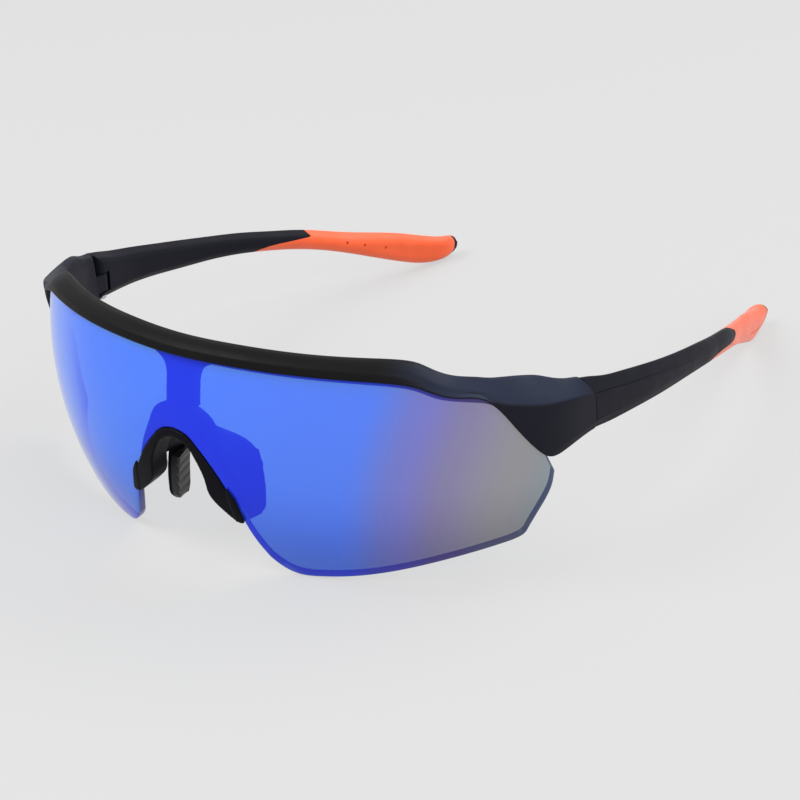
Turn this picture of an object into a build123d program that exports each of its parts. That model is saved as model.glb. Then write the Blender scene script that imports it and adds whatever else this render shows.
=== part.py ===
from build123d import *
from math import atan2, cos, degrees, radians, sin, sqrt
import os

# ---------------------------------------------------------------- driving sizes, mm
# Model frame: X to the wearer's left, Y from the lens towards the ears, Z up, ground at 0.
BOX_SHIFT_Y = 92.33           # distance from the model origin to the middle of the bounding box

LENS_R = 78.3                 # outer radius of the spherical lens
LENS_T = 2.2                  # lens thickness
LENS_C = Vector(0, 77.4, 32.5)   # centre of the lens sphere
GROOVE_GAP = 0.05             # clearance between the lens and whatever holds it
BAR_PROUD = 1.7               # how far the brow bar stands in front of the lens

PIN = Vector(67.3, 52.7, 0)   # hinge screw axis, +X side
PIN_R = 0.7
PIN_BORE_R = 0.75
EAR_R = 1.75                  # round of the hinge knuckles about the screw
LUG_Z = (31.8, 36.1)          # the front frame's central lug
SCREW_Z = (29.6, 39.0)        # under the head rim, end of the shank
SCREW_HEAD_R = 1.15
SCREW_HEAD_H = 0.8
SCREW_SEAT_R = 0.71           # bore in the arm's ears, where the screw sits firm
RUN_GAP = 0.3                 # air between the folding arm and the front
MITRE_AT = Vector(68.5, 51.4, 36.0)
MITRE_N = Vector(-0.50, 0.86, 0.10).normalized()

# ---------------------------------------------------------------- shared helpers


def mirrored(shape):
    """The same piece on the wearer's other side."""
    return shape.mirror(Plane.YZ)


def on_cone(x, z, reach):
    """Carry a front-view point of the lens surface out along its ray from the sphere centre."""
    depth = sqrt(LENS_R ** 2 - x ** 2 - (z - LENS_C.Z) ** 2)
    scale = reach / depth
    return Vector(x * scale, LENS_C.Y - reach, LENS_C.Z + (z - LENS_C.Z) * scale)


def cone_wire(outline, reach):
    """Closed wire of a front-view outline; each entry is a list of points, two for a line."""
    edges = []
    for run in outline:
        pts = [on_cone(x, z, reach) for x, z in run]
        edges.append(Edge.make_line(*pts) if len(pts) == 2 else Edge.make_spline(pts))
    return Wire(edges)


def cone(outline):
    """Solid cone through an outline, so that cut edges stand square to the lens surface."""
    return Solid.make_loft([cone_wire(outline, 26.0), cone_wire(outline, 92.0)], True)


def symmetric(half):
    """Close a +X half outline that runs from the top centre to the bottom centre."""
    left = [[(-x, z) for x, z in reversed(run)] for run in reversed(half)]
    return half + left


def shell(r_in, r_out):
    """Spherical shell about the lens centre."""
    at = Pos(LENS_C.X, LENS_C.Y, LENS_C.Z)
    return at * Sphere(r_out) - at * Sphere(r_in)


def soft_wire(corners, cuts):
    """Closed polygon whose corners are eased over the given distances."""
    n = len(corners)
    ins, outs = [], []
    for i in range(n):
        here, before, after = corners[i], corners[i - 1], corners[(i + 1) % n]
        cut = min(cuts[i], 0.45 * (before - here).length, 0.45 * (after - here).length)
        ins.append(here + (before - here).normalized() * cut)
        outs.append(here + (after - here).normalized() * cut)
    edges = []
    for i in range(n):
        edges.append(Edge.make_bezier(ins[i], corners[i], outs[i]))
        edges.append(Edge.make_line(outs[i], ins[(i + 1) % n]))
    return Wire(edges)


def box_between(low, high):
    """Axis-aligned box from its two extreme corners."""
    size = [b - a for a, b in zip(low, high)]
    mid = [(a + b) / 2 for a, b in zip(low, high)]
    return Pos(*mid) * Box(*size)


def pin_cylinder(radius, z0, z1):
    """Cylinder about the +X hinge axis."""
    return Pos(PIN.X, PIN.Y, (z0 + z1) / 2) * Cylinder(radius, z1 - z0)


def mitre_block(offset, side):
    """Everything on one side of the joint face between front and arm."""
    origin = MITRE_AT + MITRE_N * (offset + side * 20)
    plane = Plane(origin, x_dir=Vector(0, 0, 1).cross(MITRE_N), z_dir=MITRE_N)
    return plane * Box(60, 60, 40)


# ---------------------------------------------------------------- shield lens

# Front-view outline, +X half: hidden top edge, hidden corner, temporal edge, lower edge,
# nose edge and arch.
LENS_TOP = [(0, 51.9), (25.5, 51.7), (40.4, 50.9), (47.2, 50.1), (53.6, 47.4), (60.0, 45.4),
            (62.6, 43.2)]
LENS_CORNER = [(62.6, 43.2), (65.5, 37.6), (67.3, 31.5), (68.6, 24.4)]
LENS_SIDE = [(68.6, 24.4), (68.1, 21.0), (65.9, 14.9), (63.9, 10.4)]
LENS_HEEL = [(63.9, 10.4), (63.0, 8.8), (61.2, 7.8)]
LENS_LOWER = [(61.2, 7.8), (50.2, 4.7), (39.4, 1.8), (31.6, 0.5), (26.6, 0.1)]
LENS_TOE = [(26.6, 0.1), (23.4, 0.35), (20.6, 2.0), (18.3, 4.8)]
LENS_NOSE = [(18.3, 4.8), (15.9, 10.6), (14.3, 15.8), (12.1, 21.5), (8.2, 27.9), (5.6, 31.0)]
LENS_ARCH = [(5.6, 31.0), (3.2, 33.1), (0, 33.9)]
LENS_HALF = [LENS_TOP, LENS_CORNER, LENS_SIDE, LENS_HEEL, LENS_LOWER, LENS_TOE, LENS_NOSE,
             LENS_ARCH]


def lens():
    return shell(LENS_R - LENS_T, LENS_R) & cone(symmetric(LENS_HALF))


def lens_groove():
    """Room for the lens in the pieces that hold it."""
    room = shell(LENS_R - LENS_T - GROOVE_GAP, LENS_R + GROOVE_GAP)
    return room & cone(symmetric(LENS_HALF))


# ---------------------------------------------------------------- front frame

# Section stations of the +X half. Each row: plan position of the outer crease, heading of
# the inward normal in degrees, height of the crease, height of the lower front edge, height of
# the top back edge, its depth, the bulge of the face, inner depth and inner bottom height.
RING = [  # x, z of lower front edge, rise of the top edge, bulge, inner bottom drop
    (0.0, 50.7, 3.2, 1.0, 2.2),
    (13.0, 50.75, 3.2, 1.0, 2.2),
    (25.5, 50.5, 3.2, 1.0, 2.2),
    (35.0, 50.1, 3.3, 1.0, 2.2),
    (43.0, 49.5, 3.6, 1.0, 2.2),
    (47.6, 48.8, 3.9, 0.9, 2.2),
    (50.6, 47.8, 4.1, 0.65, 2.2),
    (53.4, 46.3, 3.9, 0.4, 2.2),
    (56.7, 45.2, 3.4, 0.15, 2.2),
    (60.0, 44.4, 3.4, 0.0, 2.2),
]
END = [  # x, y, heading, crease z, lower edge z, top edge z, top depth, inner depth, inner z
    (62.5, 28.4, 52.0, 43.4, 41.6, 47.3, 4.5, 6.1, 41.2),
    (64.8, 31.5, 55.0, 42.4, 36.6, 46.9, 4.7, 6.4, 38.0),
    (66.8, 34.9, 59.0, 41.5, 31.8, 46.3, 4.9, 6.7, 33.6),
    (68.4, 38.4, 63.0, 40.8, 28.6, 45.4, 4.8, 6.6, 30.2),
    (69.8, 42.7, 68.0, 40.2, 28.7, 43.8, 4.2, 6.1, 29.2),
    (70.8, 47.8, 75.0, 39.1, 29.4, 42.5, 3.3, 5.7, 29.4),
    (71.3, 53.0, 83.0, 37.8, 29.5, 41.7, 2.6, 5.6, 29.5),
    (71.6, 58.0, 86.0, 36.8, 29.2, 40.6, 2.3, 5.5, 29.2),
]


def bar_section(x, z_low, rise, bulge, drop):
    """Section of the brow bar where it follows the lens sphere."""
    rho = sqrt((LENS_R + BAR_PROUD) ** 2 - (z_low - LENS_C.Z) ** 2)
    phi = atan2(x, sqrt(rho ** 2 - x ** 2))
    slope = rise / 4.4
    profile = [
        (0.35, z_low),
        (0.0, z_low + 0.45),
        (0.35 + 0.6 * (1 - bulge), z_low + 0.7 + 1.3 * bulge),
        (1.5, z_low + 1.5 * slope + 0.2 + 1.6 * bulge),
        (2.9, z_low + 2.9 * slope + 0.1 + 1.15 * bulge),
        (4.6, z_low + rise + 0.1),
        (5.4, z_low + rise - 0.8),
        (5.8, z_low + 0.6),
        (5.8, z_low - drop),
        (4.2, z_low - drop - 0.2),
        (1.3, z_low - 0.1),
    ]
    centre = Vector(0, LENS_C.Y, 0)
    out = Vector(sin(phi), -cos(phi), 0)
    corners = [centre + out * (rho - d) + Vector(0, 0, z) for d, z in profile]
    return corners, [0.12, 0.2, 0.35, 0.5, 0.5, 0.4, 0.3, 0.4, 0.3, 0.3, 0.25]


def end_section(x, y, heading, z_crease, z_low, z_top, d_top, d_in, z_in):
    """Section of the end piece, from the gusset back to the hinge."""
    inward = Vector(-sin(radians(heading)), cos(radians(heading)), 0)
    profile = [
        (0.45, z_low),
        (0.1, z_low + min(1.6, 0.25 * (z_crease - z_low))),
        (0.0, z_crease),
        (0.3 * d_top, z_crease + 0.33 * (z_top - z_crease)),
        (0.65 * d_top, z_crease + 0.68 * (z_top - z_crease)),
        (d_top, z_top),
        (d_in - 0.4, z_top - 0.35 * (d_in - d_top)),
        (d_in, z_top - 2.4),
        (d_in, z_in),
        (min(4.2, d_in - 1.3), z_in - 0.1),
        (1.4, z_low - 0.05),
    ]
    corners = [Vector(x, y, 0) + inward * d + Vector(0, 0, z) for d, z in profile]
    return corners, [0.12, 0.2, 0.5, 0.35, 0.35, 0.5, 0.4, 0.4, 0.35, 0.3, 0.25]


def bar_body():
    """Brow bar with both end pieces, lofted in one run from hinge to hinge."""
    half = [bar_section(*row) for row in RING] + [end_section(*row) for row in END]
    sections = []
    for corners, cuts in reversed(half[1:]):
        sections.append(soft_wire([Vector(-c.X, c.Y, c.Z) for c in corners], cuts))
    for corners, cuts in half:
        sections.append(soft_wire(corners, cuts))
    return Solid.make_loft(sections)


POST_HALF = [
    [(0, 50.6), (10.5, 50.2)],
    [(10.5, 50.2), (7.4, 48.9), (4.6, 47.2), (3.8, 44.6)],
    [(3.8, 44.6), (3.8, 38.5)],
    [(3.8, 38.5), (0, 38.5)],
]
TENON = (2.4, 35.6, 39.5)     # half-width, foot and top of the tongue that carries the bridge


def post():
    """Central post behind the lens, with the tongue that the nose bridge plugs onto."""
    plate = shell(LENS_R - 5.0, LENS_R - 2.35) & cone(symmetric(POST_HALF))
    w, z0, z1 = TENON
    tongue = [[(-w, z0), (-w, z1)], [(-w, z1), (w, z1)], [(w, z1), (w, z0)], [(w, z0), (-w, z0)]]
    return plate + (shell(LENS_R - 4.35, LENS_R - 3.0) & cone(tongue))


def hinge_lug():
    """Round lug between the arm's two ears, with its neck into the end piece."""
    z0, z1 = LUG_Z
    neck = box_between((PIN.X - EAR_R, 46.6, z0), (PIN.X + 1.0, PIN.Y, z1))
    return pin_cylinder(EAR_R, z0, z1) + neck


def end_relief():
    """What is cut away behind the end piece so that the arm can fold."""
    sweep = pin_cylinder(EAR_R + RUN_GAP, 20, 50)
    behind = box_between((PIN.X - 12, PIN.Y - EAR_R - RUN_GAP, 20), (PIN.X, PIN.Y + 12, 50))
    return mitre_block(-RUN_GAP / 2, 1) + sweep + behind


def front_frame():
    """The +X half is finished first, because its mirror image then matches it exactly."""
    half_space = box_between((0, -60, -10), (100, 120, 100))
    half = (bar_body() & half_space) - end_relief()
    half = half + hinge_lug() - pin_cylinder(PIN_BORE_R, 25, 45)
    half = half - lens_groove() + (post() & half_space)
    return half + mirrored(half)


# ---------------------------------------------------------------- nose bridge and pads

LEG_INNER = [(12.9, 14.2), (9.9, 16.9), (7.6, 20.0), (7.1, 23.2), (5.6, 27.3), (2.8, 31.0),
             (0, 31.9)]


def rim_outline():
    """Arch and legs that fill the lens cut-out."""
    half = [
        [(0, 33.84), (3.2, 33.04), (5.55, 30.95)],
        [(5.55, 30.95), (8.1, 27.85), (12.0, 21.45), (14.2, 15.8)],
        [(14.2, 15.8), (14.3, 14.3), (12.9, 14.2)],
        LEG_INNER,
    ]
    return symmetric(half)


def flange_outline():
    """Plate behind the lens: shoulders under the post, then a border along the cut-out."""
    half = [
        [(0, 38.4), (3.9, 38.4)],
        [(3.9, 38.4), (7.2, 36.4), (9.2, 33.0), (11.2, 28.9)],
        [(11.2, 28.9), (13.4, 23.6), (15.2, 17.2)],
        [(15.2, 17.2), (15.0, 14.0), (12.9, 14.2)],
        LEG_INNER,
    ]
    return symmetric(half)


def lip_outline():
    """Hook that laps the front of the lens at the foot of the +X leg."""
    return [
        [(13.2, 20.6), (13.9, 20.2), (14.8, 16.4)],
        [(14.8, 16.4), (15.0, 13.9), (13.2, 14.1)],
        [(13.2, 14.1), (13.2, 20.6)],
    ]


def arch_face(y, top, foot, out_w, wall):
    """Arch-shaped section of the saddle at one depth behind the lens."""
    outer = [(-out_w, foot), (-0.86 * out_w, foot + 0.55 * (top - foot)), (0, top),
             (0.86 * out_w, foot + 0.55 * (top - foot)), (out_w, foot)]
    inner = [(out_w - wall, foot), (0.80 * (out_w - wall), foot + 0.5 * (top - wall - foot)),
             (0, top - wall), (-0.80 * (out_w - wall), foot + 0.5 * (top - wall - foot)),
             (wall - out_w, foot)]
    up = [Vector(x, y, z) for x, z in outer]
    down = [Vector(x, y, z) for x, z in inner]
    return Wire([Edge.make_spline(up), Edge.make_line(up[-1], down[0]),
                 Edge.make_spline(down), Edge.make_line(down[-1], up[0])])


def saddle():
    """Sloping roof behind the lens that carries both fingers."""
    front = arch_face(3.2, 36.0, 23.6, 10.6, 2.6)
    middle = arch_face(8.5, 32.0, 22.4, 11.2, 2.4)
    back = arch_face(14.6, 27.4, 21.4, 11.6, 2.2)
    return Solid.make_loft([front, middle, back])


FINGER_Y = (8.2, 15.2)        # front and back of the hanging fingers
FINGER_ROWS = [  # z, outer x at the front, nose-side x of the pad at the front, trim of the ends
    (24.8, 9.3, 6.5, 0.0),
    (21.0, 10.1, 6.9, 0.0),
    (16.5, 10.6, 7.5, 0.0),
    (12.4, 10.7, 7.8, 0.15),
    (10.6, 10.5, 8.1, 0.7),
    (9.8, 10.2, 8.6, 1.5),
]


def finger():
    """Blade that hangs from the saddle and backs the soft pad, +X side."""
    y0, y1 = FINGER_Y
    sections = []
    for z, x_out, _, trim in FINGER_ROWS:
        corners = [
            Vector(x_out, y0 + trim, z),
            Vector(x_out + 0.7, y1 - trim, z),
            Vector(x_out - 0.2, y1 - trim, z),
            Vector(x_out - 1.1, y0 + trim, z),
        ]
        sections.append(soft_wire(corners, [0.4, 0.3, 0.2, 0.3]))
    return Solid.make_loft(sections)


PAD_RIBS = 5
PAD_RIB_PITCH = 2.2
PAD_RIB_DEPTH = 0.45


def nose_pad(bridge):
    """Soft wedge on the nose side of the +X finger, with cross grooves for grip."""
    y0, y1 = FINGER_Y
    sections = []
    for z, x_out, x_nose, trim in FINGER_ROWS[1:]:
        corners = [
            Vector(x_out - 1.0, y0 + trim + 0.1, z),
            Vector(x_out - 0.1, y1 - trim - 0.1, z),
            Vector(x_out - 0.9, y1 - trim - 0.1, z),
            Vector(x_nose, y0 + trim + 0.1, z),
        ]
        sections.append(soft_wire(corners, [0.1, 0.1, 0.3, 0.6]))
    pad = Solid.make_loft(sections)
    for i in range(PAD_RIBS):
        z = 11.9 + i * PAD_RIB_PITCH
        groove = Pos(8.0, 11.7, z) * Rot(0, 0, -20) * Box(1.4, 12, 0.5)
        pad = pad - (Pos(-1.25 + PAD_RIB_DEPTH, 0, 0) * groove)
    return (pad - bridge).solids().sort_by(SortBy.VOLUME)[-1]


def nose_bridge():
    grip = shell(LENS_R - 4.4, LENS_R + 0.45) & cone(rim_outline())
    plate = shell(LENS_R - 4.4, LENS_R - LENS_T - GROOVE_GAP) & cone(flange_outline())
    lip = shell(LENS_R + GROOVE_GAP, LENS_R + 0.6) & cone(lip_outline())
    body = grip + plate + lip + mirrored(lip) + saddle()
    body = body + finger() + mirrored(finger())
    w, z0, z1 = TENON
    w, z0 = w + GROOVE_GAP, z0 - GROOVE_GAP
    slot = [[(-w, z0), (-w, z1)], [(-w, z1), (w, z1)], [(w, z1), (w, z0)], [(w, z0), (-w, z0)]]
    socket = shell(LENS_R - 4.4, LENS_R - 2.0) & cone(slot)
    return body - socket


# ---------------------------------------------------------------- temple arms and sleeves

# Each row: y, outer crease x and z, top edge x and z, lower crease z, bottom edge x and z,
# inner face x, drop of the inner top edge, rise of the inner bottom edge, corner easing.
ARM = [
    (47.5, 70.7, 39.0, 68.1, 42.5, 31.7, 70.1, 29.5, 65.6, 0.9, 0.3, 0.40),
    (53.0, 71.2, 37.8, 68.8, 41.3, 31.5, 70.6, 29.4, 65.6, 1.0, 0.4, 0.40),
    (58.0, 71.5, 36.8, 69.5, 39.8, 31.2, 70.9, 28.7, 66.3, 1.2, 0.7, 0.40),
    (66.0, 71.8, 35.0, 70.0, 37.9, 30.1, 71.2, 27.7, 67.3, 1.3, 0.9, 0.45),
    (75.0, 71.9, 33.1, 70.1, 35.8, 28.8, 71.3, 26.6, 67.6, 1.3, 0.9, 0.50),
    (85.0, 71.6, 30.8, 70.0, 33.5, 27.3, 71.0, 25.2, 67.5, 1.3, 0.8, 0.60),
    (97.0, 70.9, 28.1, 69.3, 30.8, 25.6, 70.4, 23.7, 66.8, 1.3, 0.7, 0.65),
    (109.0, 69.7, 25.6, 68.2, 28.1, 23.4, 69.2, 21.7, 65.5, 1.3, 0.6, 0.70),
    (120.0, 68.0, 23.0, 66.6, 25.3, 21.0, 67.4, 19.3, 63.7, 1.4, 0.5, 0.75),
    (132.0, 65.5, 20.0, 64.2, 22.2, 17.8, 64.8, 16.1, 61.2, 1.5, 0.4, 0.80),
    (143.0, 62.4, 16.9, 61.0, 19.1, 14.2, 61.7, 12.4, 58.2, 1.6, 0.3, 0.85),
    (153.0, 59.3, 13.6, 57.9, 15.9, 10.6, 58.6, 8.7, 55.3, 1.6, 0.3, 0.90),
    (163.0, 56.5, 10.4, 55.1, 12.7, 6.9, 55.7, 4.7, 52.4, 1.6, 0.4, 0.95),
    (172.0, 54.4, 7.3, 53.0, 9.6, 3.8, 53.5, 1.7, 50.1, 1.5, 0.7, 0.95),
    (180.0, 52.5, 5.5, 51.3, 7.5, 2.2, 51.8, 0.02, 48.5, 1.3, 1.4, 0.90),
    (184.0, 51.6, 4.8, 50.8, 6.3, 2.3, 51.1, 0.8, 48.9, 0.9, 1.2, 0.65),
    (186.0, 51.0, 4.4, 50.4, 5.3, 2.8, 50.6, 2.0, 49.4, 0.5, 0.6, 0.30),
]
SLEEVE_WALL = 1.1
SLEEVE_HOLES = [(58.2, 143.2, 15.6), (56.4, 149.2, 13.3), (54.2, 156.6, 10.4)]   # on the inner face
SLEEVE_HOLE_R = 0.4
SLEEVE_HOLE_L = 2.6
TIP_ROUND = (174.8, 6.4, 5.2)   # y, z and radius of the sleeve's end on the inner side
TIP_OUTSIDE = 184.6             # y of the sleeve's end on the outer side


def arm_section(row, inset):
    """Section of the arm at one station; inset gives the smaller core inside the sleeve."""
    y, xk, zk, xt, zt, zl, xb, zb, xi, drop, rise, ease = row
    t = inset
    corners = [
        (xb - 0.7 * t, zb + t), (xk - t, zl + 0.6 * t), (xk - t, zk - 0.3 * t),
        (xt - 0.7 * t, zt - t), (xi + 0.7 + 0.7 * t, zt - drop - t),
        (xi + t, zt - drop - 1.3 - 0.5 * t),
        (xi + t, zb + rise + 1.5 + 0.5 * t), (xi + 1.1 + 0.7 * t, zb + rise + t),
    ]
    cut = ease * (1 - 0.45 * t / SLEEVE_WALL)
    return soft_wire([Vector(x, y, z) for x, z in corners], [cut] * 8)


def arm_blank():
    """Outer shape of the +X temple, arm and sleeve together."""
    return Solid.make_loft([arm_section(row, 0.0) for row in ARM])


def arm_core():
    """Part of the arm that runs on inside the sleeve to its exposed end."""
    return Solid.make_loft([arm_section(row, SLEEVE_WALL) for row in ARM[7:16]])


def side_prism(curve, tail):
    """Everything on the ear side of a side-view seam, as a prism across the temple."""
    start, end = curve[0], curve[-1]
    edges = [Edge.make_spline([Vector(40, y, z) for y, z in curve])]
    points = [end] + tail + [start]
    for (y0, z0), (y1, z1) in zip(points, points[1:]):
        edges.append(Edge.make_line(Vector(40, y0, z0), Vector(40, y1, z1)))
    return extrude(Face(Wire(edges)), 45, Vector(1, 0, 0))


def sleeve_region():
    """Zone of the sleeve: a tongue seam outside, a slanting seam inside, a round end."""
    outer = [(121.5, 28.0), (124.6, 25.4), (130.5, 22.8), (135.3, 20.5), (137.2, 18.6),
             (134.8, 17.8), (129.0, 19.1), (121.8, 20.8), (114.5, 21.3), (111.5, 19.0)]
    inner = [(131.5, 26.0), (130.0, 22.3), (126.5, 22.0), (120.0, 22.5), (114.5, 22.6),
             (110.6, 21.0), (109.0, 18.5)]
    far_out = [(111.5, -10.0), (169.0, -10.0), (169.0, 35.0), (121.5, 35.0)]
    far_in = [(109.0, -10.0), (169.0, -10.0), (169.0, 35.0), (131.5, 35.0)]
    split = Plane((67.3, 112, 20), x_dir=(0, 0, 1), z_dir=(0.974, 0.225, 0))
    outside = split * (Pos(0, 0, 20) * Box(120, 200, 40))
    inside = split * (Pos(0, 0, -20) * Box(120, 200, 40))
    y, z, r = TIP_ROUND
    tip = Pos(60, y, z) * Rot(0, 90, 0) * Cylinder(r, 60)
    flank = box_between((40, 168.5, -5), (80, TIP_OUTSIDE, 20)) & outside
    front = (side_prism(outer, far_out) & outside) + (side_prism(inner, far_in) & inside)
    return front + tip + box_between((40, 168.5, -5), (80, y, 20)) + flank


def hinge_cuts():
    """Joint face, knuckle rounding, lug pocket and screw bores of the +X arm."""
    z0, z1 = LUG_Z
    rounding = box_between((PIN.X - 8, PIN.Y - 12, 20), (PIN.X, PIN.Y, 50))
    rounding = rounding - pin_cylinder(EAR_R, 15, 55)
    pocket = pin_cylinder(EAR_R + RUN_GAP, z0 - RUN_GAP, z1 + RUN_GAP)
    throat = box_between((PIN.X - 8, PIN.Y - 12, z0 - RUN_GAP),
                         (PIN.X + 1.0 + RUN_GAP, PIN.Y, z1 + RUN_GAP))
    relief = box_between((PIN.X - 4, PIN.Y - 1, z0 - RUN_GAP),
                         (PIN.X - 0.4, PIN.Y + EAR_R + 0.2, z1 + RUN_GAP))
    shank = pin_cylinder(SCREW_SEAT_R, SCREW_Z[0] - 3, SCREW_Z[1] + 0.2)
    head = pin_cylinder(SCREW_HEAD_R + 0.05, 20, SCREW_Z[0] + SCREW_HEAD_H)
    return mitre_block(RUN_GAP / 2, -1) + rounding + pocket + relief + throat + shank + head


def temple():
    """The +X arm and its sleeve."""
    blank = arm_blank()
    zone = sleeve_region()
    core = arm_core()
    sleeve = (blank & zone) - core
    for x, y, z in SLEEVE_HOLES:
        hole = Rot(0, 90, 0) * Cylinder(SLEEVE_HOLE_R, SLEEVE_HOLE_L)
        sleeve = sleeve - Pos(x, y, z) * hole
    arm = (blank - zone) + (core & zone)
    arm = arm - hinge_cuts()
    return arm, sleeve


# ---------------------------------------------------------------- hinge screw


def hinge_screw():
    """Slotted screw, put in from below."""
    z0, z1 = SCREW_Z
    head = pin_cylinder(SCREW_HEAD_R, z0, z0 + SCREW_HEAD_H)
    shank = pin_cylinder(PIN_R, z0 + SCREW_HEAD_H, z1)
    slot = box_between((PIN.X - 2, PIN.Y - 0.16, z0 - 1), (PIN.X + 2, PIN.Y + 0.16, z0 + 0.35))
    return head + shank - slot


# ---------------------------------------------------------------- assembly


def build():
    """Every piece of the sunglasses under its own name, in the model frame."""
    bridge = nose_bridge()
    pad = nose_pad(bridge)
    arm, sleeve = temple()
    screw = hinge_screw()
    return {
        "shield_lens": lens(),
        "front_frame": front_frame(),
        "nose_bridge": bridge,
        "nose_pad_left": pad,
        "nose_pad_right": mirrored(pad),
        "temple_arm_left": arm,
        "temple_arm_right": mirrored(arm),
        "temple_sleeve_left": sleeve,
        "temple_sleeve_right": mirrored(sleeve),
        "hinge_screw_left": screw,
        "hinge_screw_right": mirrored(screw),
    }


os.makedirs("parts", exist_ok=True)
for node, shape in build().items():
    placed = Pos(0, -BOX_SHIFT_Y, 0) * shape
    box = placed.bounding_box()
    print(node, len(placed.solids()), round(placed.volume), box.min, box.max)
    export_step(placed, f"parts/{node}.step")
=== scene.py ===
from math import atan2, cos, pi, radians, sin, sqrt

import bmesh
import bpy
import numpy as np
from mathutils import Matrix, Vector
from mathutils.geometry import delaunay_2d_cdt


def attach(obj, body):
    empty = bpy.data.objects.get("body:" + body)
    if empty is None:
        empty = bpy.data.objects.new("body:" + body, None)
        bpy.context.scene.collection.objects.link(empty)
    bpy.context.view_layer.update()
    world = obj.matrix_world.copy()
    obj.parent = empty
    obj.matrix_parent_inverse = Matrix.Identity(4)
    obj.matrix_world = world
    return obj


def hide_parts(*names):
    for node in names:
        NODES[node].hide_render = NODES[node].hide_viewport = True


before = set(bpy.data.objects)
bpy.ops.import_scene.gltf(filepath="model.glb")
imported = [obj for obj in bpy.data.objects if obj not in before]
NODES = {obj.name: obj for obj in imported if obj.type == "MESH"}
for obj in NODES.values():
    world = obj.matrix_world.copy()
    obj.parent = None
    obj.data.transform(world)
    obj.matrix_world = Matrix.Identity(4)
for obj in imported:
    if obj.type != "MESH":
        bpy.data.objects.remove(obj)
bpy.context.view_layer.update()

# ------------------------------------------------------------------ sizes of the model, mm
# Tables are in the model frame: X to the wearer's left, Y towards the ears, Z up, ground at 0.
BOX_SHIFT_Y = 92.33           # from the model frame to the middle of the bounding box
LENS_R = 78.3
LENS_T = 2.2
LENS_C = np.array([0.0, 77.4, 32.5])
BAR_PROUD = 1.7
PIN = (67.3, 52.7)            # hinge screw axis
EAR_R = 1.75
LUG_Z = (31.8, 36.1)
SEAT_R = 1.2                  # seat of the screw's head, from below
SEAT_TOP_Z = 30.4
RUN_GAP = 0.3
LUG_ROOT_Y = 47.5             # where the lug's neck starts, inside the end piece
CUT_Z = (20, 50)              # cutters at the hinge run from below the temple to above it
CUT_REACH = 12                # how far a cutter runs on past the screw
RELIEF_X = (-4.0, -0.4)       # room in the arm for the lug's neck at full fold, from the screw
RELIEF_Y = (-1.0, EAR_R + 0.2)
RELIEF_PAST = 0.04            # how far it stands past the slot, so that no faces coincide
MITRE_AT = (68.5, 51.4, 36.0)
MITRE_N = Vector((-0.50, 0.86, 0.10)).normalized()

# ------------------------------------------------------------------ curves and meshes


def natural_cubic(t, values):
    """Interpolating natural cubic spline through values at t; returns an evaluator."""
    t = np.asarray(t, float)
    v = np.asarray(values, float).reshape(len(t), -1)
    n = len(t)
    h = np.diff(t)
    a = np.zeros((n, n))
    b = np.zeros_like(v)
    a[0, 0] = a[-1, -1] = 1.0
    for i in range(1, n - 1):
        a[i, i - 1:i + 2] = h[i - 1], 2 * (h[i - 1] + h[i]), h[i]
        b[i] = 6 * ((v[i + 1] - v[i]) / h[i] - (v[i] - v[i - 1]) / h[i - 1])
    m = np.linalg.solve(a, b)

    def at(x, column=None):
        x = np.asarray(x, float)
        k = np.clip(np.searchsorted(t, x, side="right") - 1, 0, n - 2)
        lo, hi, w = x - t[k], t[k + 1] - x, h[k]
        if column is None:
            lo, hi, w = lo[..., None], hi[..., None], w[..., None]
            m0, m1, v0, v1 = m[k], m[k + 1], v[k], v[k + 1]
        else:
            m0, m1, v0, v1 = m[k, column], m[k + 1, column], v[k, column], v[k + 1, column]
        return (m0 * hi ** 3 + m1 * lo ** 3) / (6 * w) + (v0 / w - m0 * w / 6) * hi \
            + (v1 / w - m1 * w / 6) * lo

    return at


def run_points(run, spacing):
    """Points along one run of an outline, without its last: a line, or a spline."""
    pts = np.array(run, float)
    chord = np.concatenate([[0], np.cumsum(np.linalg.norm(np.diff(pts, axis=0), axis=1))])
    n = max(2, int(round(chord[-1] / spacing)))
    x = np.linspace(0, chord[-1], n, endpoint=False)
    if len(pts) == 2:
        return pts[0] + (pts[1] - pts[0]) * (x / chord[-1])[:, None]
    return natural_cubic(chord, pts)(x)


def outline_points(half, spacing):
    """Closed symmetric outline from its +X half, which runs from top centre to bottom centre."""
    right = np.vstack([run_points(run, spacing) for run in half] + [[half[-1][-1]]])
    left = right[::-1][1:-1] * [-1, 1]
    return np.vstack([right, left])


def closed_points(runs, spacing):
    return np.vstack([run_points(run, spacing) for run in runs])


def ring_normals(ring):
    """Outward normals of a closed clockwise ring in the X-Z plane."""
    tangent = np.roll(ring, -1, axis=0) - np.roll(ring, 1, axis=0)
    tangent /= np.linalg.norm(tangent, axis=1)[:, None]
    return np.stack([-tangent[:, 1], tangent[:, 0]], axis=1)


def on_sphere(xz, radius):
    """Front-view points of the lens surface, carried along their rays to another radius."""
    x, z = xz[:, 0], xz[:, 1] - LENS_C[2]
    y = -np.sqrt(LENS_R ** 2 - x ** 2 - z ** 2)
    return LENS_C + np.stack([x, y, z], axis=1) * (radius / LENS_R)


def make_object(name, verts, faces, materials=(), face_slots=None, sharp_deg=40):
    """Mesh object from model-frame millimetres."""
    pts = (np.asarray(verts, float) - [0, BOX_SHIFT_Y, 0]) * 0.001
    mesh = bpy.data.meshes.new(name)
    mesh.from_pydata([tuple(p) for p in pts], [], [tuple(map(int, f)) for f in faces])
    for m in materials:
        mesh.materials.append(m)
    if face_slots is not None:
        mesh.polygons.foreach_set("material_index", np.asarray(face_slots, np.int32))
    mesh.validate()
    obj = bpy.data.objects.new(name, mesh)
    bpy.context.scene.collection.objects.link(obj)
    clean_up(obj, sharp_deg)
    return obj


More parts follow.
